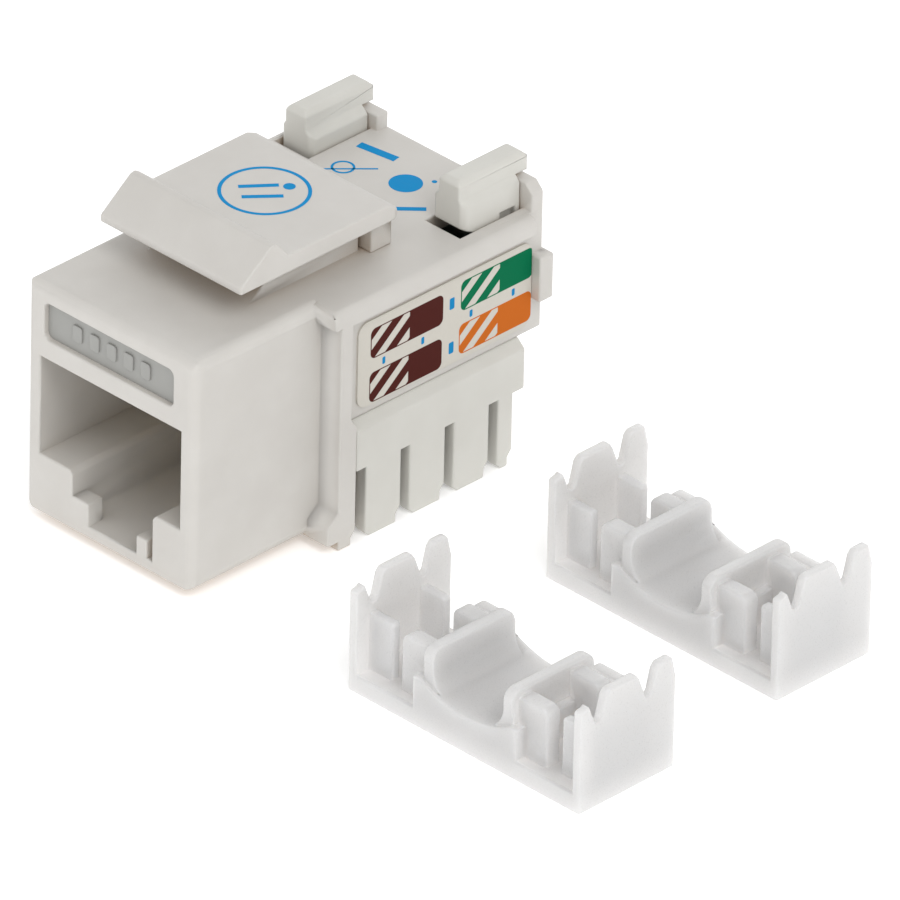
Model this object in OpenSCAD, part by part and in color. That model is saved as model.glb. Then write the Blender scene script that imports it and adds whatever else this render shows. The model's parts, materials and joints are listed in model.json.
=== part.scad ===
// Keystone network jack with two loose termination caps, in millimetres.
// The working datum has x = 0 on the centre line, y = 0 on the front face and z = 0 under the
// front box. Everything is then lowered so that the origin is the middle of the plug opening.

/* [Front box] */
// Width of the box that fills a keystone opening
box_w = 14.5; // [14.3:0.05:14.7]
// Height of the box
box_h = 16; // [15.8:0.05:16.2]
// Distance from the front face to the flange
flange_y = 10.5; // [10.3:0.1:10.8]
// Radius on the outer edges of the box
box_r = 0.8; // [0.4:0.1:1]

/* [Plug opening] */
// Width of the opening
port_w = 12; // [11.9:0.05:12.1]
// Height of its ceiling above the underside of the box
port_top = 10.85; // [10.75:0.05:10.95]
// Height of the shoulders that carry the plug
shoulder_top = 4.05; // [3.9:0.05:4.1]
// How far the channel for the plug's tab reaches left of the centre line
channel_left = 3.15; // [3.1:0.05:3.3]
// How far it reaches right of the centre line
channel_right = 3.7; // [3.1:0.05:3.8]
// Height of the channel floor
channel_floor = 0.75; // [0.6:0.05:0.9]

/* [Rear housing] */
// Distance from the front face to the rear wall's outside
housing_len = 28.15; // [28.1:0.05:28.3]
// Width over the flange, the roof and the towers
flange_w = 18.06; // [18:0.02:18.1]
// Width over the recessed side walls
side_w = 16.8; // [16.7:0.05:16.9]
// Thickness of the side walls
side_t = 0.9; // [0.85:0.05:1]
// Thickness of the roof
roof_t = 1.25; // [1.1:0.05:1.3]
// Height of the bottom edge of the side walls
side_bottom = 7.7; // [7.6:0.05:7.8]

/* [Keystone latch] */
// Width of the latch plate
latch_w = 12; // [11.6:0.1:12.2]
// Height of the underside of the plate
latch_z = 18.25; // [18.2:0.05:18.4]
// Thickness of the plate
latch_t = 1.25; // [1.1:0.05:1.3]
// Distance from the front face to the latch's front edge
latch_front = 4.9; // [4.7:0.1:5.1]
// Distance from the front face to the latch's rear edge
latch_rear = 18.5; // [18.4:0.05:18.6]

/* [Wire block] */
// Distance between neighbouring wire slots
slot_pitch = 3.75; // [3.7:0.01:3.8]
// Width of a wire slot between two towers
slot_w = 0.75; // [0.7:0.05:0.8]
// Distance from the front face to the first wire slot
slot_first = 12.4; // [12.35:0.05:12.45]
// How far the tower tips reach below the box
tower_drop = 0.6; // [0.5:0.05:0.7]

/* [Contacts] */
// Distance between neighbouring plug contacts
contact_pitch = 1.02; // [1:0.01:1.04]
// Thickness of a plug contact's wire
wire_t = 0.35; // [0.3:0.01:0.36]

/* [Termination caps] */
// Length of a cap, across the jack
cap_l = 19.3; // [19.25:0.05:19.4]
// Width of a cap, along the jack
cap_w = 8; // [7.9:0.05:8.1]
// Height of a cap to the tips of its teeth
cap_h = 7.75; // [7.6:0.05:7.9]
// Distance from the cap's near side to its first wire notch
cap_notch = 1.45; // [1.4:0.05:1.6]
// Distance between the two wire notches of an end wall
cap_pitch = 4.25; // [4.1:0.05:4.3]
// How far right of the centre line the front cap lies
cap_front_x = 20.45; // [20:0.05:22]
// Where the front cap's near side lies, from the front face
cap_front_y = -0.1; // [-0.5:0.05:0.5]
// How far right of the centre line the rear cap lies
cap_rear_x = 19.65; // [19.4:0.05:21]
// Where the rear cap's near side lies, from the front face
cap_rear_y = 17.45; // [17:0.05:18]

/* [Hidden] */
$fn = 48;
CONTACTS = 8;
SLOTS = 4;

eps = 0.01;
big = 60;
ground = -tower_drop;
port_mid = (shoulder_top + port_top) / 2;
flange_x = flange_w / 2;
side_x = side_w / 2;
channel_x = [-channel_left, channel_right];
inner_x = side_x - side_t;
roof_z = box_h - roof_t;
roof_r = 0.6;
pillar_back = 11.95;
wall_back = 27.2;
tab_x = 9.2;

pad_w = 8.7;
pad_y = [7.2, 8.6, 16.5];
pad_top = 17;
root_w = 10.3;
root_y = 16.75;
ridge_top = 20.7;

arm_y = [22.3, 27.15];
arm_x = [4.7, 7.4];
rail_x = [5.25, 7];
rail_top = 19.4;
arm_slot_x = [4.6, inner_x];
arm_slot_y = 21.95;
skirt_z = [15.65, 18.1];
window_y = [25.5, 26.7];
window_top = 16.2;
stem_x = [5.65, 7.05];
stem_y = 25.2;
post_x = 4.8;
post_top = 17.8;
left_out = 0.8;
left_drop = 0.75;

block_top = side_bottom;
band_z = [4.35, 7.15];
band_end = 26.25;
tower_end = 25.3;
tower_x = 6.15;
wall_slot_x = 8.1;
pocket_w = 2.2;
core_z = 4.6;

board_z = [8.3, 9.3];
board_y = [12.3, 26.8];
board_x = 7.4;
board_step = 24.9;
pin_hole_r = 0.3;
blade_x = 6.55;
blade_t = 0.4;
blade_w = 1.9;

plate_a = [-5.7, 12.2];
plate_b = [5.3, 14.75];
plate_face = 0.4;
plate_back = 1.2;

lead_z = 11.5;
bend_r = 0.35;
bend_y = 3.4;
slope = 30;
spring_l = 7.8;
tail_rows = [13.4, 14.7];
carrier_x = 5.2;
carrier_y = [10.9, 11.9];

end_t = 0.65;
floor_t = 1.3;
wall_x = [5.95, 6.75];
wall_y = [0.3, 7.25];
wall_top = 5.65;
fillet = 1.8;
saddle_low = 2.5;
saddle_r = 7.9;
post_h = 5.2;

grey_white = [0.86, 0.85, 0.82];
block_white = [0.87, 0.86, 0.84];
label_grey = [0.72, 0.74, 0.73];
cap_white = [0.96, 0.96, 0.96];
gold = [0.85, 0.68, 0.3];
phosphor = [0.75, 0.58, 0.4];
board_green = [0.1, 0.38, 0.22];

function contact_x(i) = (i - (CONTACTS + 1) / 2) * contact_pitch;
function slot_y(k) = slot_first + k * slot_pitch;

// A rectangle from corner to corner with rounded corners, made of squares and circles.
module rounded(a, b, r) {
    translate([a.x + r, a.y]) square([b.x - a.x - 2 * r, b.y - a.y]);
    translate([a.x, a.y + r]) square([b.x - a.x, b.y - a.y - 2 * r]);
    for (x = [a.x + r, b.x - r], y = [a.y + r, b.y - r]) translate([x, y]) circle(r);
}

// A box between two opposite corners.
module block(a, b) {
    translate(a) cube(b - a);
}

// Extrudes an outline drawn in y and z along x, from x0 to x1.
module along_x(x0, x1) {
    translate([x0, 0, 0]) rotate([90, 0, 90]) linear_extrude(x1 - x0) children();
}

// Extrudes an outline drawn in x and z along y, from y0 to y1.
module along_y(y0, y1) {
    translate([0, y1, 0]) rotate([90, 0, 0]) linear_extrude(y1 - y0) children();
}

// The same thing on both sides of the centre line.
module both_sides() {
    children();
    mirror([1, 0, 0]) children();
}

// A wire of square section seen from the side: straight runs with round bends between points.
module strip(points, t) {
    for (i = [0:len(points) - 2]) {
        a = points[i];
        b = points[i + 1];
        translate(a) rotate(atan2(b.y - a.y, b.x - a.x)) translate([0, -t / 2]) square([norm(b - a), t]);
    }
    if (len(points) > 2) {
        for (i = [1:len(points) - 2]) translate(points[i]) circle(t / 2);
    }
}

// --- Front housing -------------------------------------------------------------------------

module front_box() {
    intersection() {
        along_y(0, flange_y + 1) rounded([-box_w / 2, 0], [box_w / 2, box_h], box_r);
        translate([0, 0, -1]) linear_extrude(box_h + 2)
            rounded([-box_w / 2, 0], [box_w / 2, big], box_r);
        along_x(-box_w, box_w) rounded([0, -2 * box_r], [big, box_h], box_r);
    }
}

// The flange and the roof seen from the front, from z0 up, with rounded upper corners.
module flange_outline(z0) {
    difference() {
        translate([-flange_x, z0]) square([flange_w, box_h - z0]);
        for (side = [-1, 1]) translate([side * flange_x, box_h]) difference() {
            square(2 * roof_r, center = true);
            translate([-side * roof_r, -roof_r]) circle(roof_r);
        }
    }
}

// One pillar of the flange, with the lip at its top and the foot at its bottom.
module pillar() {
    intersection() {
        along_x(box_w / 2 - 0.4, flange_x) polygon([
            [9.6, 0], [9.6, 1.3], [flange_y, 2.1], [flange_y, 14.9], [10, 14.9], [10, box_h - 0.3],
            [10.3, box_h], [11.5, box_h], [11.5, 8.2], [pillar_back, 7.6], [pillar_back, 0.3],
            [11.6, -0.1], [11.6, ground], [flange_y, ground], [flange_y, 0]]);
        along_y(0, big) flange_outline(ground);
    }
}

// The wall behind the box that carries the pillars, the roof and the side walls.
module bulkhead() {
    block([-box_w / 2, flange_y, 0], [box_w / 2, 11.5, box_h]);
}

module roof() {
    along_y(10.6, 27) flange_outline(roof_z);
    block([-side_x, 26.9, roof_z], [side_x, housing_len, box_h]);
}

module side_walls() {
    both_sides() block([inner_x, 11.4, side_bottom], [side_x, housing_len, roof_z + eps]);
    block([-side_x, wall_back, side_bottom], [side_x, housing_len, roof_z + eps]);
}

// A post that the right snap arm hooks over.
module post() {
    along_y(wall_back, housing_len) polygon([
        [post_x, box_h - left_drop], [side_x, box_h - left_drop], [side_x, post_top - 0.6],
        [side_x - 0.6, post_top], [post_x, post_top]]);
}

// The left post is lower, by as much as the left arm is.
module posts() {
    post();
    translate([0, 0, -left_drop]) mirror([1, 0, 0]) post();
}

// The tabs at the rear corners.
module rear_tabs() {
    both_sides() block([side_x - 0.4, wall_back, 10], [tab_x, housing_len + 0.2, 13.1]);
}

// The raised pad under the latch, which stops the latch when it is pressed, with a ramp in front.
module latch_pad() {
    along_x(-pad_w / 2, pad_w / 2) polygon([
        [pad_y[0], box_h - eps], [pad_y[1], pad_top], [pad_y[2], pad_top], [pad_y[2], box_h - eps]]);
}

// The hole for the plug: the plug's own space, the tab's channel and the space for the wires.
module plug_space() {
    block([-port_w / 2, -1, shoulder_top], [port_w / 2, 12, port_top]);
    along_y(-1, 12) polygon([
        [channel_x[0], channel_floor], [channel_x[1], channel_floor],
        [channel_x[1], shoulder_top - 0.3], [channel_x[1] + 0.3, shoulder_top + eps],
        [channel_x[0] - 0.3, shoulder_top + eps], [channel_x[0], shoulder_top - 0.3]]);
    block([-carrier_x, 2.4, port_top - eps], [carrier_x, 12, 12.6]);
}

// The small step and the low rib at the mouth of the channel that the plug's tab clicks behind.
module tab_steps() {
    block([channel_x[0] - eps, 0, channel_floor - eps], [-1.75, 1.3, 2.3]);
    block([2.35, 0, channel_floor - eps], [3.25, 1.3, 2]);
}

// The slot in the roof that the right arm comes up through.
module arm_slot() {
    block([arm_slot_x[0], arm_slot_y, roof_z - eps], [arm_slot_x[1], wall_back, box_h + 1]);
}

module front_housing() {
    color(grey_white) {
        difference() {
            union() {
                front_box();
                both_sides() pillar();
                bulkhead();
                roof();
                side_walls();
                posts();
                rear_tabs();
                latch_pad();
            }
            plug_space();
            arm_slot();
            mirror([1, 0, 0]) translate([left_out, 0, 0]) arm_slot();
            label_recess();
        }
        tab_steps();
    }
}

// --- Label plate on the front face ------------------------------------------------------------

module label_recess() {
    along_y(-1, plate_back) rounded(plate_a, plate_b, 0.45);
}

// The grey plate has a row of small raised bars where a category mark would be.
module label_plate() {
    color(label_grey) {
        along_y(plate_face, plate_back) rounded(plate_a, plate_b, 0.45);
        for (i = [0:4]) {
            along_y(plate_face - 0.12, plate_face + eps)
                rounded([-3.55 + 1.45 * i, 12.95], [-2.75 + 1.45 * i, 14.05], 0.2);
        }
    }
}

// --- Keystone latch ---------------------------------------------------------------------------

// The plate with its ridge, seen from the side, and the root block that it bends on.
module keystone_latch() {
    top = latch_z + latch_t;
    color(grey_white) {
        intersection() {
            along_x(-latch_w / 2, latch_w / 2) polygon([
                [latch_front, latch_z], [latch_front, latch_z + 0.5], [7.35, ridge_top - 0.08],
                [7.75, ridge_top], [8.05, ridge_top - 0.2], [8.9, top], [17.2, top],
                [17.9, top - 0.3], [latch_rear, latch_z + 0.4], [latch_rear, latch_z]]);
            linear_extrude(big) rounded([-latch_w / 2, 0], [latch_w / 2, latch_rear], 0.8);
        }
        block([-root_w / 2, root_y, box_h], [root_w / 2, latch_rear, latch_z + eps]);
    }
}

// --- Contact carrier, spring contacts and their tails -------------------------------------------

module contact_carrier() {
    color(block_white) difference() {
        union() {
            block([-carrier_x, 2.6, lead_z + wire_t / 2 + 0.05], [carrier_x, carrier_y[1], 12.5]);
            block([-carrier_x, carrier_y[0], shoulder_top + 0.3], [carrier_x, carrier_y[1], 12.5]);
            block([-port_w / 2 + 0.1, 11.55, channel_floor + 0.1], [port_w / 2 - 0.1, carrier_y[1], 10.7]);
        }
        for (i = [1:CONTACTS]) translate([contact_x(i), 0, 0]) {
            block([-0.28, 10, 5.2], [0.28, 11.5, lead_z]);
            block([-0.2, 10, lead_z - wire_t / 2 - 0.02], [0.2, 13, lead_z + wire_t / 2 + 0.02]);
        }
    }
}

// The sprung part of a contact: the bend at the front and the slope that the plug pushes up.
module spring_contact(i) {
    start = [bend_y + bend_r * cos(270 - slope), lead_z - bend_r + bend_r * sin(270 - slope)];
    color(gold) translate([contact_x(i), 0, 0]) along_x(-wire_t / 2, wire_t / 2) {
        difference() {
            translate([bend_y, lead_z - bend_r]) circle(bend_r + wire_t / 2);
            translate([bend_y, lead_z - bend_r]) circle(bend_r - wire_t / 2);
            translate([bend_y, lead_z - 3 * bend_r]) square([2, 6 * bend_r]);
            translate([bend_y, lead_z - bend_r]) rotate(-slope) translate([0, -2]) square([2, 4]);
        }
        strip([start, start + spring_l * [cos(slope), -sin(slope)],
               start + spring_l * [cos(slope), -sin(slope)] + [0.55, 0.05]], wire_t);
    }
}

// The fixed part of a contact: along the carrier, then down through the circuit board.
module contact_tail(i) {
    back = tail_rows[i % 2];
    color(gold) translate([contact_x(i), 0, 0]) along_x(-wire_t / 2, wire_t / 2)
        strip([[bend_y + 0.02, lead_z], [back, lead_z], [back, board_z[0] - 0.35]], wire_t);
}

// --- Circuit board ------------------------------------------------------------------------------

module circuit_board() {
    color(board_green) difference() {
        union() {
            block([-board_x, board_y[0], board_z[0]], [board_x, board_step, board_z[1]]);
            block([-4.9, board_y[0], board_z[0]], [4.9, board_y[1], board_z[1]]);
        }
        for (i = [1:CONTACTS]) {
            translate([contact_x(i), tail_rows[i % 2], 0]) cylinder(h = big, r = pin_hole_r);
        }
        both_sides() for (k = [0:SLOTS - 1]) translate([blade_x, slot_y(k), 0]) cylinder(h = big, r = 0.4);
    }
}

// --- Wire block and its contacts ------------------------------------------------------------------

// One tower seen from the side, from y0 to y1, with the lead-in corners at its tip.
module tower(y0, y1) {
    along_x(tower_x, flange_x) polygon([
        [y0, band_z[0] + eps], [y0, -0.15], [y0 + 0.35, ground], [y1 - 0.35, ground], [y1 - 0.35, 0],
        [y1, 0.45], [y1, band_z[0] + eps]]);
}

module idc_block() {
    chamfer = flange_x - side_x;
    color(block_white) difference() {
        union() {
            along_y(pillar_back + eps, band_end) polygon([
                [-flange_x, band_z[0]], [flange_x, band_z[0]], [flange_x, band_z[1]],
                [flange_x - chamfer, block_top], [chamfer - flange_x, block_top],
                [-flange_x, band_z[1]]]);
            block([-inner_x, band_end - 1, core_z], [inner_x, 27.1, block_top]);
            both_sides() for (k = [0:SLOTS - 1])
                tower(slot_y(k) + slot_w / 2,
                      k < SLOTS - 1 ? slot_y(k + 1) - slot_w / 2 : tower_end);
            both_sides() for (y = [12.6, 20.3]) block([5.4, y, block_top - eps], [5.9, y + 1.2, board_z[0]]);
        }
        both_sides() for (k = [0:SLOTS - 1]) {
            block([3.6, max(slot_y(k) - pocket_w / 2, pillar_back - 1), ground - 1],
                  [wall_slot_x, slot_y(k) + pocket_w / 2, band_z[0]]);
            block([blade_x - 0.25, max(slot_y(k) - 1, pillar_back), 0],
                  [blade_x + 0.25, slot_y(k) + 1, block_top + eps]);
        }
        block([-3.4, pillar_back - 1, ground - 1], [3.4, tower_end - 1.5, band_z[0] + 1.6]);
    }
}

// A forked blade that cuts through a wire's insulation; its stem passes through the board.
module idc_blade() {
    translate([blade_x, 0, 0]) along_x(-blade_t / 2, blade_t / 2) difference() {
        union() {
            polygon([[-blade_w / 2, 1.1], [-0.45, 0.5], [-0.16, 1.4], [0.16, 1.4], [0.45, 0.5],
                     [blade_w / 2, 1.1], [blade_w / 2, 6.2], [0.3, 6.9], [0.3, board_z[1] + 0.5],
                     [-0.3, board_z[1] + 0.5], [-0.3, 6.9], [-blade_w / 2, 6.2]]);
        }
        translate([-0.13, 1]) square([0.26, 2.8]);
        translate([0, 3.8]) circle(0.13);
    }
}

// Contacts 1 to 4 are on the left from front to back, and 5 to 8 on the right.
module idc_contact(i) {
    side = i > SLOTS ? 0 : 1;
    color(phosphor) mirror([side, 0, 0]) translate([0, slot_y((i - 1) % SLOTS), 0]) intersection() {
        idc_blade();
        block([0, i % SLOTS == 1 ? pillar_back + 0.05 - slot_first : -5, -5], [big, 5, big]);
    }
}

// --- Snap arms --------------------------------------------------------------------------------------

// The part of the right arm that shows above the roof: a skirt in the slot, with a rail on it that
// hooks the post. It is where three outlines meet: from the front, from the side and from above.
module arm_head() {
    difference() {
        intersection() {
            along_y(arm_y[0], housing_len) polygon([
                [arm_x[0], skirt_z[0]], [arm_x[1], skirt_z[0]], [arm_x[1], skirt_z[1] - 0.4],
                [rail_x[1], skirt_z[1] + 0.1], [rail_x[1], rail_top - 0.3], [rail_x[1] - 0.3, rail_top],
                [rail_x[0] + 0.3, rail_top], [rail_x[0], rail_top - 0.3],
                [rail_x[0], skirt_z[1] + 0.1], [arm_x[0], skirt_z[1] - 0.4]]);
            along_x(0, 2 * arm_x[1]) polygon([
                [arm_y[0], 16.25], [arm_y[0] + 1.1, skirt_z[0]], [arm_y[1], skirt_z[0]],
                [arm_y[1], skirt_z[1]], [housing_len, skirt_z[1]], [housing_len, rail_top - 0.35],
                [housing_len - 0.35, rail_top], [arm_y[0] + 0.3, rail_top], [arm_y[0], rail_top - 0.3]]);
            linear_extrude(big) polygon([
                [arm_x[0], arm_y[0] + 0.3], [arm_x[0] + 0.3, arm_y[0]], [arm_x[1] - 0.3, arm_y[0]],
                [arm_x[1], arm_y[0] + 0.3], [arm_x[1], housing_len], [arm_x[0], housing_len]]);
        }
        block([0, window_y[0], 0], [2 * arm_x[1], window_y[1], window_top]);
    }
}

// A snap arm: a stem from the wire block, and the head, moved outward and down on the left arm.
module snap_arm(out, drop) {
    color(block_white) {
        block([stem_x[0], stem_y, block_top], [stem_x[1], 27, 17]);
        translate([out, 0, -drop]) arm_head();
    }
}

// --- Wiring labels ------------------------------------------------------------------------------------

module wiring_label() {
    color(grey_white) along_x(side_x, side_x + 0.12) rounded([12.4, 8.25], [27.15, 14.15], 0.8);
}

// --- Termination caps ------------------------------------------------------------------------------------

// An end wall seen from the side: a notch for each of two wires, a low front corner and a rear edge
// that leans in at the top.
module cap_end_wall() {
    difference() {
        polygon([[0, 0], [cap_w, 0], [cap_w, 6.3], [cap_w - 0.35, cap_h], [1.2, cap_h], [0.5, 7.1],
                 [0, 7]]);
        for (n = [0, 1]) translate([cap_notch + n * cap_pitch, 0]) {
            translate([0, 6.15]) circle(0.3);
            polygon([[-0.3, 6.15], [0.3, 6.15], [0.5, 6.9], [0.62, 7.4], [0.9, cap_h + eps],
                     [-1.05, cap_h + eps], [-0.8, 7.4]]);
        }
    }
}

// The thin outer rib and the thicker inner post that press one wire down on both sides of its blade.
module cap_pusher() {
    along_y(-0.325, 0.325) rounded([end_t - 0.3, 0.5], [2.6, post_h], 0.25);
    along_y(-0.575, 0.575) rounded([3.6, 0.5], [wall_x[0] + 0.3, post_h], 0.55);
}

// Everything at one end of a cap: the end wall, the pushers and the raised block at the back.
module cap_end() {
    along_x(0, end_t) cap_end_wall();
    for (n = [0, 1]) translate([0, cap_notch + n * cap_pitch, 0]) cap_pusher();
    along_y(cap_w - 1, cap_w - 0.15) rounded([3.4, 0.5], [wall_x[0] + 0.3, 4.6], 0.35);
}

// The middle of a cap: two cross walls that run into a rounded channel for the cable, and the lower
// front and rear rims.
module cap_saddle() {
    difference() {
        along_x(wall_x[0], cap_l - wall_x[0]) rounded([wall_y[0], 0.2], [wall_y[1], wall_top], 0.8);
        along_y(-1, cap_w + 1)
            rounded([wall_x[1], saddle_low], [cap_l - wall_x[1], 2 * wall_top], fillet);
    }
    difference() {
        block([wall_x[0] - 0.6, 0, 0], [cap_l - wall_x[0] + 0.6, cap_w, 3.45]);
        along_y(-1, cap_w + 1) translate([cap_l / 2, saddle_low + saddle_r]) circle(saddle_r, $fn = 96);
    }
}

module termination_cap() {
    color(cap_white) {
        block([0, 0, 0], [cap_l, cap_w, floor_t]);
        cap_end();
        translate([cap_l, 0, 0]) mirror([1, 0, 0]) cap_end();
        cap_saddle();
    }
}

// --- Placement ------------------------------------------------------------------------------------------

module placed() {
    translate([0, 0, -port_mid]) children();
}

placed() front_housing();
placed() keystone_latch();
placed() label_plate();
placed() contact_carrier();
placed() circuit_board();
placed() idc_block();
placed() mirror([1, 0, 0]) snap_arm(left_out, left_drop);  // snap_arm_left
placed() snap_arm(0, 0);  // snap_arm_right
placed() mirror([1, 0, 0]) wiring_label();  // wiring_label_left
placed() wiring_label();  // wiring_label_right
placed() translate([cap_front_x, cap_front_y, ground]) termination_cap();  // termination_cap_front
placed() translate([cap_rear_x, cap_rear_y, ground]) termination_cap();  // termination_cap_rear
for (i = [1:CONTACTS]) {
    placed() spring_contact(i);
    placed() contact_tail(i);
    placed() idc_contact(i);
}
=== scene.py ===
"""Looks of the keystone network jack and its two loose termination caps."""
import json
import math

import bmesh
import bpy
from mathutils import Matrix, Vector
from mathutils.bvhtree import BVHTree

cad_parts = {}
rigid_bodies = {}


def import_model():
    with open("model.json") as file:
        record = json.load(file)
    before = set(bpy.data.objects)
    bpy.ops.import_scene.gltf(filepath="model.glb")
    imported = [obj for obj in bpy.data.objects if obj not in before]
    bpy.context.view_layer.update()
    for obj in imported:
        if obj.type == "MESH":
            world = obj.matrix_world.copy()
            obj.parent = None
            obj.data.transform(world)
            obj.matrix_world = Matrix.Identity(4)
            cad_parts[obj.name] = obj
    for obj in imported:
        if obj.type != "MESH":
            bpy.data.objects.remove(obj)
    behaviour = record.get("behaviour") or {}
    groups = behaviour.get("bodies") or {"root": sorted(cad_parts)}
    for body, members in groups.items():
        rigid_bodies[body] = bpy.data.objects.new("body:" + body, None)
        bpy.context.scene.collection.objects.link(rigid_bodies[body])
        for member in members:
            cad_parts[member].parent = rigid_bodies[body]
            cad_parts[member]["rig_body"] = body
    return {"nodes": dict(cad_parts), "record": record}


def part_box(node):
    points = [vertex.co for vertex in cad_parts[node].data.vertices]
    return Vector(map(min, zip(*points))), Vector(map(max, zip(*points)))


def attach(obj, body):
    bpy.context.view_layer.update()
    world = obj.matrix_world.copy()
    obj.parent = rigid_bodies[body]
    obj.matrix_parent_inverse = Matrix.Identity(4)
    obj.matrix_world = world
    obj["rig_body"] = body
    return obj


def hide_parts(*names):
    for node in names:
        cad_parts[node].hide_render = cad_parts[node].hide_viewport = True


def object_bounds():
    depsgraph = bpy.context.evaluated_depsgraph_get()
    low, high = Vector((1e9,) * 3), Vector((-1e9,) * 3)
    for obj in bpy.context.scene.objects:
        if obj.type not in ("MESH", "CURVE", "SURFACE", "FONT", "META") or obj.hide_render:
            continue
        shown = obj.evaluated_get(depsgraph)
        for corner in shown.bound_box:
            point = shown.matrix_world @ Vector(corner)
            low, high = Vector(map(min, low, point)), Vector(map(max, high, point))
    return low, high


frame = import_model()
cad_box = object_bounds()

MM = 0.001
NODES = frame["nodes"]
RECORD = frame["record"]
SLOT_OF = {part["node"]: part["material_slot"] for part in RECORD["subparts"]}


def mount_pos(name):
    """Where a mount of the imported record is, in metres."""
    return Vector(next(m["pos_m"] for m in RECORD["mounts"] if m["name"] == name))


# The jack's datum: x = 0 on its centre line, y = 0 on its front face, z = 0 on the box's underside.
DATUM_Z = mount_pos("resting_face").z
GROUND_Z = cad_box[0].z


def at(x, y, z):
    """A point of the jack's datum, given in millimetres."""
    return Vector((x * MM, y * MM, z * MM + DATUM_Z))


# --- Shader helpers ---------------------------------------------------------------------------


class Shader:
    """A node material that is built from the top down, with short calls."""

    def __init__(self, name):
        self.material = bpy.data.materials.new(name)
        self.material.use_nodes = True
        self.tree = self.material.node_tree
        self.tree.nodes.clear()
        self.out = self.node("ShaderNodeOutputMaterial")
        self.bsdf = self.node("ShaderNodeBsdfPrincipled")
        self.link(self.bsdf.outputs[0], self.out.inputs["Surface"])
        self.place = self.node("ShaderNodeTexCoord").outputs["Object"]

    def node(self, kind, **values):
        made = self.tree.nodes.new(kind)
        for key, value in values.items():
            setattr(made, key, value)
        return made

    def link(self, source, target):
        self.tree.links.new(source, target)

    def set(self, **values):
        for key, value in values.items():
            self.bsdf.inputs[key.replace("_", " ")].default_value = value

    def noise(self, size_mm, detail=2.0, roughness=0.5, stretch=(1, 1, 1)):
        """A noise whose features are about size_mm across."""
        scale = self.node("ShaderNodeMapping")
        scale.inputs["Scale"].default_value = [s / (size_mm * MM) for s in stretch]
        self.link(self.place, scale.inputs["Vector"])
        made = self.node("ShaderNodeTexNoise")
        made.inputs["Scale"].default_value = 1.0
        made.inputs["Detail"].default_value = detail
        made.inputs["Roughness"].default_value = roughness
        self.link(scale.outputs[0], made.inputs["Vector"])
        return made.outputs["Fac"]

    def remap(self, value, low, high, to_low, to_high):
        made = self.node("ShaderNodeMapRange", clamp=True)
        for key, number in zip(("From Min", "From Max", "To Min", "To Max"), (low, high, to_low, to_high)):
            made.inputs[key].default_value = number
        self.link(value, made.inputs["Value"])
        return made.outputs["Result"]

    def math(self, operation, a, b=None, c=None):
        made = self.node("ShaderNodeMath", operation=operation)
        for socket, value in zip(made.inputs, (a, b, c)):
            if value is None:
                continue
            if isinstance(value, (int, float)):
                socket.default_value = value
            else:
                self.link(value, socket)
        return made.outputs[0]

    def mix(self, factor, a, b):
        made = self.node("ShaderNodeMix", data_type="RGBA")
        for socket, value in ((made.inputs[0], factor), (made.inputs[6], a), (made.inputs[7], b)):
            if isinstance(value, (tuple, list)):
                socket.default_value = (*value, 1.0)
            elif isinstance(value, (int, float)):
                socket.default_value = value
            else:
                self.link(value, socket)
        return made.outputs[2]

    def split(self):
        """The place on the object as three sockets x, y and z, in metres."""
        made = self.node("ShaderNodeSeparateXYZ")
        self.link(self.place, made.inputs[0])
        return made.outputs

    def rounded_edges(self, radius_mm):
        """Softens sharp edges in the shading and returns how much of an edge a point is on."""
        bevel = self.node("ShaderNodeBevel", samples=6)
        bevel.inputs["Radius"].default_value = radius_mm * MM
        flat = self.node("ShaderNodeNewGeometry").outputs["Normal"]
        dot = self.node("ShaderNodeVectorMath", operation="DOT_PRODUCT")
        self.link(bevel.outputs[0], dot.inputs[0])
        self.link(flat, dot.inputs[1])
        return bevel.outputs[0], self.remap(dot.outputs["Value"], 0.995, 0.86, 0.0, 1.0)

    def recess(self, reach_mm, open_at):
        """1 deep inside a recess and 0 where more than open_at of the surroundings is open; it places the
        painted shade and painted light of recesses.
        """
        hidden = self.node("ShaderNodeAmbientOcclusion", samples=4)
        hidden.inputs["Distance"].default_value = reach_mm * MM
        return self.remap(hidden.outputs["AO"], 0.05, open_at, 1.0, 0.0)

    def bump(self, height, depth_mm, normal=None):
        made = self.node("ShaderNodeBump")
        made.inputs["Strength"].default_value = 1.0
        made.inputs["Distance"].default_value = depth_mm * MM
        self.link(height, made.inputs["Height"])
        if normal is not None:
            self.link(normal, made.inputs["Normal"])
        return made.outputs[0]


# How far the recess mask reaches, and how strongly painted shade or painted light is mixed in there.
RECESS_REACH = 4.0
RECESS_PAINT_STRENGTH = 0.85


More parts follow.
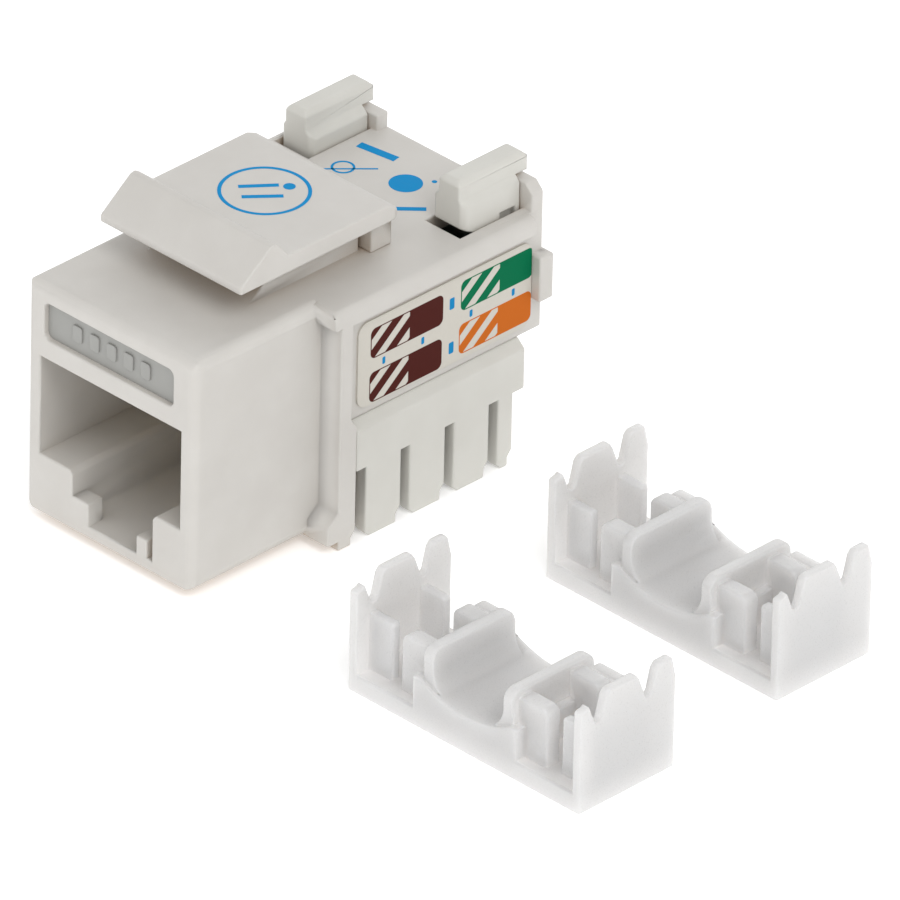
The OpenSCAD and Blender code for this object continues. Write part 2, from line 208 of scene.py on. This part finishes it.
def moulded_plastic(name, color, roughness, grain_mm=0.09, grain_depth=0.006, edge_mm=0.12, soft=0.0,
                    warm=0.03, glow_mm=1.2, painted_recess_color=None, painted_recess_open_at=0.3):
    """Moulded plastic: a fine sparked grain, faint flow mottling, and smoother edges that are painted
    lighter as a painted highlight.

    soft is how much light passes through it, and glow_mm how far. The recess colour is painted shade or
    painted light, mixed in deep inside a recess, and the open-at argument says how open a place is before
    that paint is gone.
    """
    shader = Shader(name)
    shader.set(IOR=1.5, Subsurface_Weight=soft, Subsurface_Scale=glow_mm * MM,
               Subsurface_Radius=(1.0, 0.95, 0.9))
    mottle = shader.noise(3.5, 3.0, 0.55)
    flow = shader.noise(1.1, 4.0, 0.6, (1, 0.35, 1))
    dark = tuple(c * (1 - warm - 0.004 * k) for k, c in enumerate(color))
    light = tuple(min(1.0, c * (1 + 0.5 * warm)) for c in color)
    base = shader.mix(shader.remap(mottle, 0.35, 0.65, 0.0, 1.0), dark, light)
    base = shader.mix(shader.remap(flow, 0.3, 0.7, 0.0, 0.35), base, dark)
    normal, edge = shader.rounded_edges(edge_mm)
    # Painted highlight: the edges are painted a little lighter, as if they catch the light.
    edge_highlight_color = tuple(min(1.0, c * 1.06) for c in color)
    base = shader.mix(shader.math("MULTIPLY", edge, 0.25), base, edge_highlight_color)
    # Painted shade or painted light: a colour mixed in deep inside recesses, where the light falls
    # differently from the open surfaces.
    if painted_recess_color:
        painted_recess_amount = shader.math("MULTIPLY", shader.recess(RECESS_REACH, painted_recess_open_at), RECESS_PAINT_STRENGTH)
        base = shader.mix(painted_recess_amount, base, painted_recess_color)
    shader.link(base, shader.bsdf.inputs["Base Color"])
    grain = shader.noise(grain_mm, 3.0, 0.65)
    rough = shader.remap(grain, 0.3, 0.7, roughness - 0.05, roughness + 0.06)
    rough = shader.math("SUBTRACT", rough, shader.math("MULTIPLY", edge, 0.08))
    shader.link(rough, shader.bsdf.inputs["Roughness"])
    shader.link(shader.bump(grain, grain_depth, normal), shader.bsdf.inputs["Normal"])
    return shader.material


def metal(name, color, roughness, streak=(1, 1, 8)):
    """Drawn or stamped metal with fine streaks along its length."""
    shader = Shader(name)
    shader.set(Metallic=1.0)
    tone = shader.noise(0.5, 3.0, 0.6)
    base = shader.mix(tone, tuple(c * 0.86 for c in color), color)
    shader.link(base, shader.bsdf.inputs["Base Color"])
    lines = shader.noise(0.12, 4.0, 0.7, streak)
    shader.link(shader.remap(lines, 0.3, 0.7, roughness - 0.06, roughness + 0.08),
                shader.bsdf.inputs["Roughness"])
    normal, _ = shader.rounded_edges(0.04)
    shader.link(shader.bump(lines, 0.002, normal), shader.bsdf.inputs["Normal"])
    return shader.material


WEAVE_PITCH = 0.5 * MM


def circuit_board_material():
    """Green solder mask over a faint glass weave."""
    shader = Shader("board_mask")
    turns_per_metre = 2 * math.pi / WEAVE_PITCH
    waves = [shader.math("SINE", shader.math("MULTIPLY", along, turns_per_metre))
             for along in shader.split()[:2]]
    tone = shader.remap(shader.math("MULTIPLY", *waves), -1, 1, 0.0, 1.0)
    valley, crest = (0.01, 0.09, 0.035), (0.016, 0.13, 0.05)
    shader.link(shader.mix(tone, valley, crest), shader.bsdf.inputs["Base Color"])
    shader.set(Roughness=0.35, Coat_Weight=0.4, Coat_Roughness=0.15)
    shader.link(shader.bump(tone, 0.01), shader.bsdf.inputs["Normal"])
    return shader.material


def printed_ink(name, color):
    """Pad-printed ink: even colour with slightly thin spots and a soft sheen."""
    shader = Shader(name)
    thin = shader.remap(shader.noise(0.35, 3.0, 0.7), 0.35, 0.75, 0.0, 0.35)
    worn = tuple(0.85 * c + 0.02 for c in color)
    shader.link(shader.mix(thin, color, worn), shader.bsdf.inputs["Base Color"])
    shader.set(Roughness=0.6, Specular_IOR_Level=0.12)
    shader.link(shader.bump(shader.noise(0.12), 0.002), shader.bsdf.inputs["Normal"])
    return shader.material


# The printing on a wiring label, in millimetres of the jack's datum.
PAPER = (0.600, 0.575, 0.520)
BROWN = (0.068, 0.013, 0.010)
GREEN = (0.000, 0.145, 0.060)
ORANGE = (0.540, 0.130, 0.014)
LABEL_BLUE = (0.01, 0.22, 0.48)
BLOCK_LENGTH = 6.15
BLOCK_HEIGHT = 2.1
BLOCK_CORNER = 0.42
BLOCK_RIM = 0.08
STRIPED_LENGTH = 3.3
STRIPE_PITCH = 1.87
STRIPE_START = 0.26
STRIPE_SLANT = 1.25
PRINT_EDGE = 0.015
# Each colour block: its front, its bottom and its colour.
COLOR_BLOCKS = (
    (13.45, 11.4, BROWN),
    (13.40, 8.35, BROWN),
    (21.10, 11.6, GREEN),
    (21.00, 8.60, ORANGE),
)
# Each small blue mark, in place of a letter or digit: the y and z of its middle, width and height.
BLUE_MARKS = (
    (20.35, 12.5, 0.42, 0.80), (20.35, 9.4, 0.42, 0.80), (17.9, 10.92, 0.26, 0.50),
    (14.6, 10.92, 0.26, 0.50), (25.6, 11.15, 0.26, 0.50), (22.0, 11.15, 0.26, 0.50),
)


class LabelShader(Shader):
    """A shader with flat shapes drawn on a label that faces sideways, from y and z in millimetres."""

    def __init__(self, name):
        super().__init__(name)
        _, y, z = self.split()
        self.y = self.math("DIVIDE", y, MM)
        self.z = self.math("DIVIDE", self.math("SUBTRACT", z, DATUM_Z), MM)

    def rounded_box(self, low, high, radius):
        """1 inside a rounded rectangle and 0 outside it, with a slightly soft edge."""
        over = []
        for value, a, b in zip((self.y, self.z), low, high):
            away = self.math("ABSOLUTE", self.math("SUBTRACT", value, (a + b) / 2))
            over.append(self.math("MAXIMUM", self.math("SUBTRACT", away, (b - a) / 2 - radius), 0.0))
        square = self.math("ADD", self.math("POWER", over[0], 2), self.math("POWER", over[1], 2))
        return self.remap(self.math("SQRT", square), radius - PRINT_EDGE, radius + PRINT_EDGE, 1.0, 0.0)

    def stripes(self, front, bottom):
        """Slanted white stripes, counted from a block's front bottom corner."""
        slant = self.math("MULTIPLY", self.math("SUBTRACT", self.z, bottom), STRIPE_SLANT)
        along = self.math("SUBTRACT", self.math("SUBTRACT", self.y, front + STRIPE_START), slant)
        part = self.math("FRACT", self.math("DIVIDE", along, STRIPE_PITCH))
        rise = self.remap(part, 0.0, 0.02, 0.0, 1.0)
        return self.math("MULTIPLY", rise, self.remap(part, 0.46, 0.48, 1.0, 0.0))


def wiring_label_material():
    """A white paper label with four half-striped colour blocks and small blue marks."""
    shader = LabelShader("wiring_label_print")
    fibre = shader.noise(0.25, 4.0, 0.6)
    base = shader.mix(fibre, tuple(0.95 * c for c in PAPER), PAPER)
    for front, bottom, color in COLOR_BLOCKS:
        top = bottom + BLOCK_HEIGHT
        block = shader.rounded_box((front, bottom), (front + BLOCK_LENGTH, top), BLOCK_CORNER)
        striped = shader.rounded_box((front + BLOCK_RIM, bottom + BLOCK_RIM),
                                     (front + STRIPED_LENGTH, top - BLOCK_RIM), 0.05)
        white = shader.math("MULTIPLY", striped, shader.stripes(front, bottom))
        ink = shader.math("MULTIPLY", block, shader.math("SUBTRACT", 1.0, white))
        base = shader.mix(ink, base, color)
    for y, z, width, height in BLUE_MARKS:
        mark = shader.rounded_box((y - width / 2, z - height / 2), (y + width / 2, z + height / 2), 0.1)
        base = shader.mix(mark, base, LABEL_BLUE)
    shader.link(base, shader.bsdf.inputs["Base Color"])
    shader.set(Roughness=0.6, Specular_IOR_Level=0.05)
    shader.link(shader.bump(fibre, 0.002), shader.bsdf.inputs["Normal"])
    return shader.material


HOUSING = (0.580, 0.562, 0.532)
# Painted shade: a warm dark colour that the housing takes deep inside the port and other recesses.
PORT_PAINTED_SHADE = (0.46, 0.33, 0.21)
BLOCK = (0.600, 0.592, 0.552)
PLATE = (0.32, 0.32, 0.305)
CARRIER = (0.30, 0.25, 0.19)
CAP = (0.545, 0.543, 0.543)
# Painted light: a lighter colour that the caps take deep inside their recesses, in place of light passing
# through the thin walls.
CAP_PAINTED_RECESS_LIGHT = (0.97, 0.95, 0.94)
GOLD = (0.90, 0.66, 0.30)
TIN = (0.74, 0.70, 0.64)
BLUE = (0.000, 0.250, 0.560)

housing_plastic = moulded_plastic("housing_plastic", HOUSING, 0.46, soft=0.06, painted_recess_color=PORT_PAINTED_SHADE)
block_plastic = moulded_plastic("block_plastic", BLOCK, 0.42, soft=0.06)
plate_plastic = moulded_plastic("plate_plastic", PLATE, 0.4, edge_mm=0.06, grain_depth=0.002)
carrier_plastic = moulded_plastic("carrier_plastic", CARRIER, 0.5)
cap_plastic = moulded_plastic("cap_plastic", CAP, 0.3, edge_mm=0.16, grain_depth=0.001, soft=0.8,
                              warm=0.008, glow_mm=4.0, painted_recess_color=CAP_PAINTED_RECESS_LIGHT, painted_recess_open_at=0.75)
gold = metal("gold_wire", GOLD, 0.22)
tin = metal("tinned_bronze", TIN, 0.3)
board_mask = circuit_board_material()
label_print = wiring_label_material()
blue_ink = printed_ink("blue_ink", BLUE)


MATERIAL_OF_SLOT = {
    "housing": housing_plastic,
    "wire_block": block_plastic,
    "label_grey": plate_plastic,
    "carrier": carrier_plastic,
    "board": board_mask,
    "sticker": label_print,
    "cap": cap_plastic,
    "gold": gold,
    "blade": tin,
}


def paint(node):
    """Gives a carried-over CAD node the material of its slot."""
    slots = NODES[node].data.materials
    slots.clear()
    slots.append(MATERIAL_OF_SLOT[SLOT_OF[node]])


def settle(mesh, name, body, material):
    """Turns a bmesh into a piece that rides on a body and has the given material."""
    data = bpy.data.meshes.new(name)
    mesh.to_mesh(data)
    mesh.free()
    data.materials.append(material)
    piece = bpy.data.objects.new(name, data)
    bpy.context.collection.objects.link(piece)
    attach(piece, body)
    return piece


# --- Softened mouldings -----------------------------------------------------------------------

WELD = 0.03 * MM
SLIVER = 0.004 * MM
FLAT = math.radians(1)
SHARP = math.radians(40)
CREASE = math.radians(50)
HOUSING_RADIUS = 0.12
CAP_RADIUS = 0.14
SOFT_EDGES = {
    "front_housing": HOUSING_RADIUS,
    "idc_block": HOUSING_RADIUS,
    "keystone_latch": HOUSING_RADIUS,
    "snap_arm_left": HOUSING_RADIUS,
    "snap_arm_right": HOUSING_RADIUS,
    "termination_cap_front": CAP_RADIUS,
    "termination_cap_rear": CAP_RADIUS,
}


def soften(node, radius_mm):
    """Shows a CAD node as a copy whose outer edges have the small radius of a real moulding."""
    radius = radius_mm * MM
    mesh = bmesh.new()
    mesh.from_mesh(NODES[node].data)
    bmesh.ops.remove_doubles(mesh, verts=mesh.verts, dist=WELD)
    bmesh.ops.dissolve_limit(mesh, angle_limit=FLAT, verts=mesh.verts, edges=mesh.edges)
    surface = BVHTree.FromBMesh(mesh)
    outer = [edge for edge in mesh.edges if edge.is_convex and edge.calc_face_angle() > SHARP]
    bmesh.ops.bevel(mesh, geom=outer, offset=radius, segments=2, profile=0.5, affect="EDGES",
                    clamp_overlap=False)
    # A corner that is too small for the radius is pulled back onto the CAD surface.
    for vert in mesh.verts:
        nearest, _, _, away = surface.find_nearest(vert.co)
        if away > radius:
            vert.co = nearest
    bmesh.ops.dissolve_degenerate(mesh, dist=SLIVER, edges=mesh.edges)
    for face in mesh.faces:
        face.smooth = True
    slot = SLOT_OF[node]
    piece = settle(mesh, node + "_moulding", NODES[node]["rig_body"], MATERIAL_OF_SLOT[slot])
    piece.data.set_sharp_from_angle(angle=CREASE)
    piece.modifiers.new("even_shading", "WEIGHTED_NORMAL").keep_sharp = True
    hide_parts(node)


for node in NODES:
    paint(node)
for node, radius in SOFT_EDGES.items():
    soften(node, radius)


# --- Printed marks ----------------------------------------------------------------------------

# Heights are in millimetres of the datum. Half of the ink's thickness is in the plastic.
INK = 0.02
LATCH_RISE = 3.5
ROOF = 16.0


def slab(mesh, outline, z):
    """A film of ink with the given outline, on a surface at height z, in millimetres."""
    rings = [[mesh.verts.new(at(x, y, height)) for x, y in outline]
             for height in (z - INK / 2, z + INK / 2)]
    mesh.faces.new(rings[0][::-1])
    mesh.faces.new(rings[1])
    for k in range(len(outline)):
        after = (k + 1) % len(outline)
        mesh.faces.new((rings[0][k], rings[0][after], rings[1][after], rings[1][k]))


def circle_points(x, y, radius, steps=48):
    """The corners of a circle, in millimetres."""
    turns = (2 * math.pi * k / steps for k in range(steps))
    return [(x + radius * math.cos(turn), y + radius * math.sin(turn)) for turn in turns]


def ring(mesh, x, y, radius, width, z):
    """A printed circle line."""
    loops = [[mesh.verts.new(at(px, py, height)) for px, py in circle_points(x, y, size, 72)]
             for height, size in ((z - INK / 2, radius - width), (z + INK / 2, radius - width),
                                  (z + INK / 2, radius), (z - INK / 2, radius))]
    for inner, outer in zip(loops, loops[1:] + loops[:1]):
        for k in range(len(inner)):
            after = (k + 1) % len(inner)
            mesh.faces.new((inner[k], inner[after], outer[after], outer[k]))
    bmesh.ops.recalc_face_normals(mesh, faces=mesh.faces)


def line(mesh, a, b, width, z):
    """A straight printed line from a to b."""
    way = Vector(b) - Vector(a)
    side = Vector((-way.y, way.x)).normalized() * width / 2
    slab(mesh, [Vector(a) - side, Vector(b) - side, Vector(b) + side, Vector(a) + side], z)


def latch_mark():
    """A plain ring with two bars and a dot, where the latch has a certification mark."""
    top = (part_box("keystone_latch")[0][2] - DATUM_Z) / MM + LATCH_RISE
    mesh = bmesh.new()
    ring(mesh, -0.3, 13.1, 2.85, 0.24, top)
    line(mesh, (-1.75, 12.3), (-0.2, 14.2), 0.36, top)
    line(mesh, (-0.75, 11.6), (0.9, 13.5), 0.36, top)
    slab(mesh, circle_points(0.35, 14.55, 0.38, 32), top)
    settle(mesh, "latch_print", "latch", blue_ink)


def roof_marks():
    """Plain bars, a disc, a dot and a small crossed ring, where the roof has approval marks."""
    mesh = bmesh.new()
    line(mesh, (-4.45, 25.3), (-1.65, 25.7), 0.62, ROOF)
    slab(mesh, circle_points(0.75, 24.1, 1.05), ROOF)
    line(mesh, (2.3, 21.4), (3.75, 22.85), 0.42, ROOF)
    slab(mesh, circle_points(1.8, 25.5, 0.17, 24), ROOF)
    ring(mesh, -3.2, 22.7, 0.75, 0.16, ROOF)
    line(mesh, (-3.95, 21.6), (-1.6, 24.1), 0.14, ROOF)
    settle(mesh, "roof_print", "jack", blue_ink)


latch_mark()
roof_marks()


# --- Stage ------------------------------------------------------------------------------------

FLOOR_SIZE = 3.0
FLOOR_GAP = 0.02 * MM
FLOOR_GLOW = 0.30
FLOOR_WHITE = (0.95, 0.95, 0.95)
WHITE = (1.0, 1.0, 1.0, 1.0)
SKY_LOW, SKY_HIGH = 0.92, 0.61
WARM_WHITE = (1.0, 0.995, 0.985)


def light_table(name, color, roughness, glow):
    """White paper lit a little from below, so that it stays white right up to the part."""
    shader = Shader(name)
    shader.set(Base_Color=(*color, 1.0), Roughness=roughness, Emission_Color=WHITE,
               Emission_Strength=glow)
    return shader.material


def make_floor():
    bpy.ops.mesh.primitive_plane_add(size=FLOOR_SIZE, location=(0.02, 0.01, GROUND_Z - FLOOR_GAP))
    floor = bpy.context.object
    floor.name = "floor"
    floor.data.materials.append(light_table("floor_paper", FLOOR_WHITE, 0.9, FLOOR_GLOW))


def area_light(name, place, aim, size, watts, color=(1, 1, 1)):
    """A round lamp, in metres and watts, that the camera doesn't see."""
    data = bpy.data.lights.new(name, "AREA")
    data.shape = "DISK"
    data.size = size
    data.energy = watts
    data.color = color
    lamp = bpy.data.objects.new(name, data)
    lamp.location = place
    lamp.visible_camera = False
    lamp.rotation_euler = (aim - Vector(place)).to_track_quat("-Z", "Y").to_euler()
    bpy.context.collection.objects.link(lamp)


def make_sky():
    """A light tent: brighter at the sides than overhead."""
    world = bpy.data.worlds.new("studio")
    world.use_nodes = True
    tree = world.node_tree
    direction = tree.nodes.new("ShaderNodeTexCoord")
    height = tree.nodes.new("ShaderNodeSeparateXYZ")
    fade = tree.nodes.new("ShaderNodeMapRange")
    for key, number in (("From Min", 0.1), ("From Max", 0.9), ("To Min", SKY_LOW), ("To Max", SKY_HIGH)):
        fade.inputs[key].default_value = number
    tree.links.new(direction.outputs["Generated"], height.inputs["Vector"])
    tree.links.new(height.outputs["Z"], fade.inputs["Value"])
    tree.links.new(fade.outputs["Result"], tree.nodes["Background"].inputs["Strength"])
    tree.nodes["Background"].inputs["Color"].default_value = WHITE
    bpy.context.scene.world = world


def make_lights():
    """A key from the front, a broad fill from the right, a low front glow and a rim from behind."""
    aim = Vector((0.015, 0.012, 0.0))
    port = Vector((0.0, 0.0, 0.0))
    area_light("key", (0.08, -0.30, 0.45), aim, 0.30, 0.20)
    area_light("fill_right", (0.36, -0.12, 0.46), aim, 0.34, 1.15, WARM_WHITE)
    area_light("front_floor", (-0.02, -0.09, 0.006), port, 0.03, 0.004)
    area_light("back_rim", (-0.25, 0.45, 0.35), aim, 0.35, 0.3)


def make_camera():
    """A long lens at the photograph's angle: azimuth, elevation, roll and the point it looks at."""
    azimuth, elevation, roll = map(math.radians, (44.165, 31.387, 1.335))
    distance, focal = 1.3027, 873.8
    aim = at(16.456, 12.29, 9.11)
    back = Vector((math.sin(azimuth) * math.cos(elevation),
                   -math.cos(azimuth) * math.cos(elevation),
                   math.sin(elevation)))
    right = Vector((math.cos(azimuth), math.sin(azimuth), 0))
    up = back.cross(right)
    across = math.cos(roll) * right + math.sin(roll) * up
    above = -math.sin(roll) * right + math.cos(roll) * up
    data = bpy.data.cameras.new("camera")
    data.sensor_width = 36
    data.lens = focal
    data.clip_start, data.clip_end = 0.1, 10
    camera = bpy.data.objects.new("camera", data)
    turn = Matrix((across, above, back)).transposed().to_4x4()
    camera.matrix_world = Matrix.Translation(aim + back * distance) @ turn
    bpy.context.collection.objects.link(camera)
    bpy.context.scene.camera = camera


make_floor()
make_sky()
make_lights()
make_camera()
bpy.context.scene.view_settings.view_transform = "Standard"
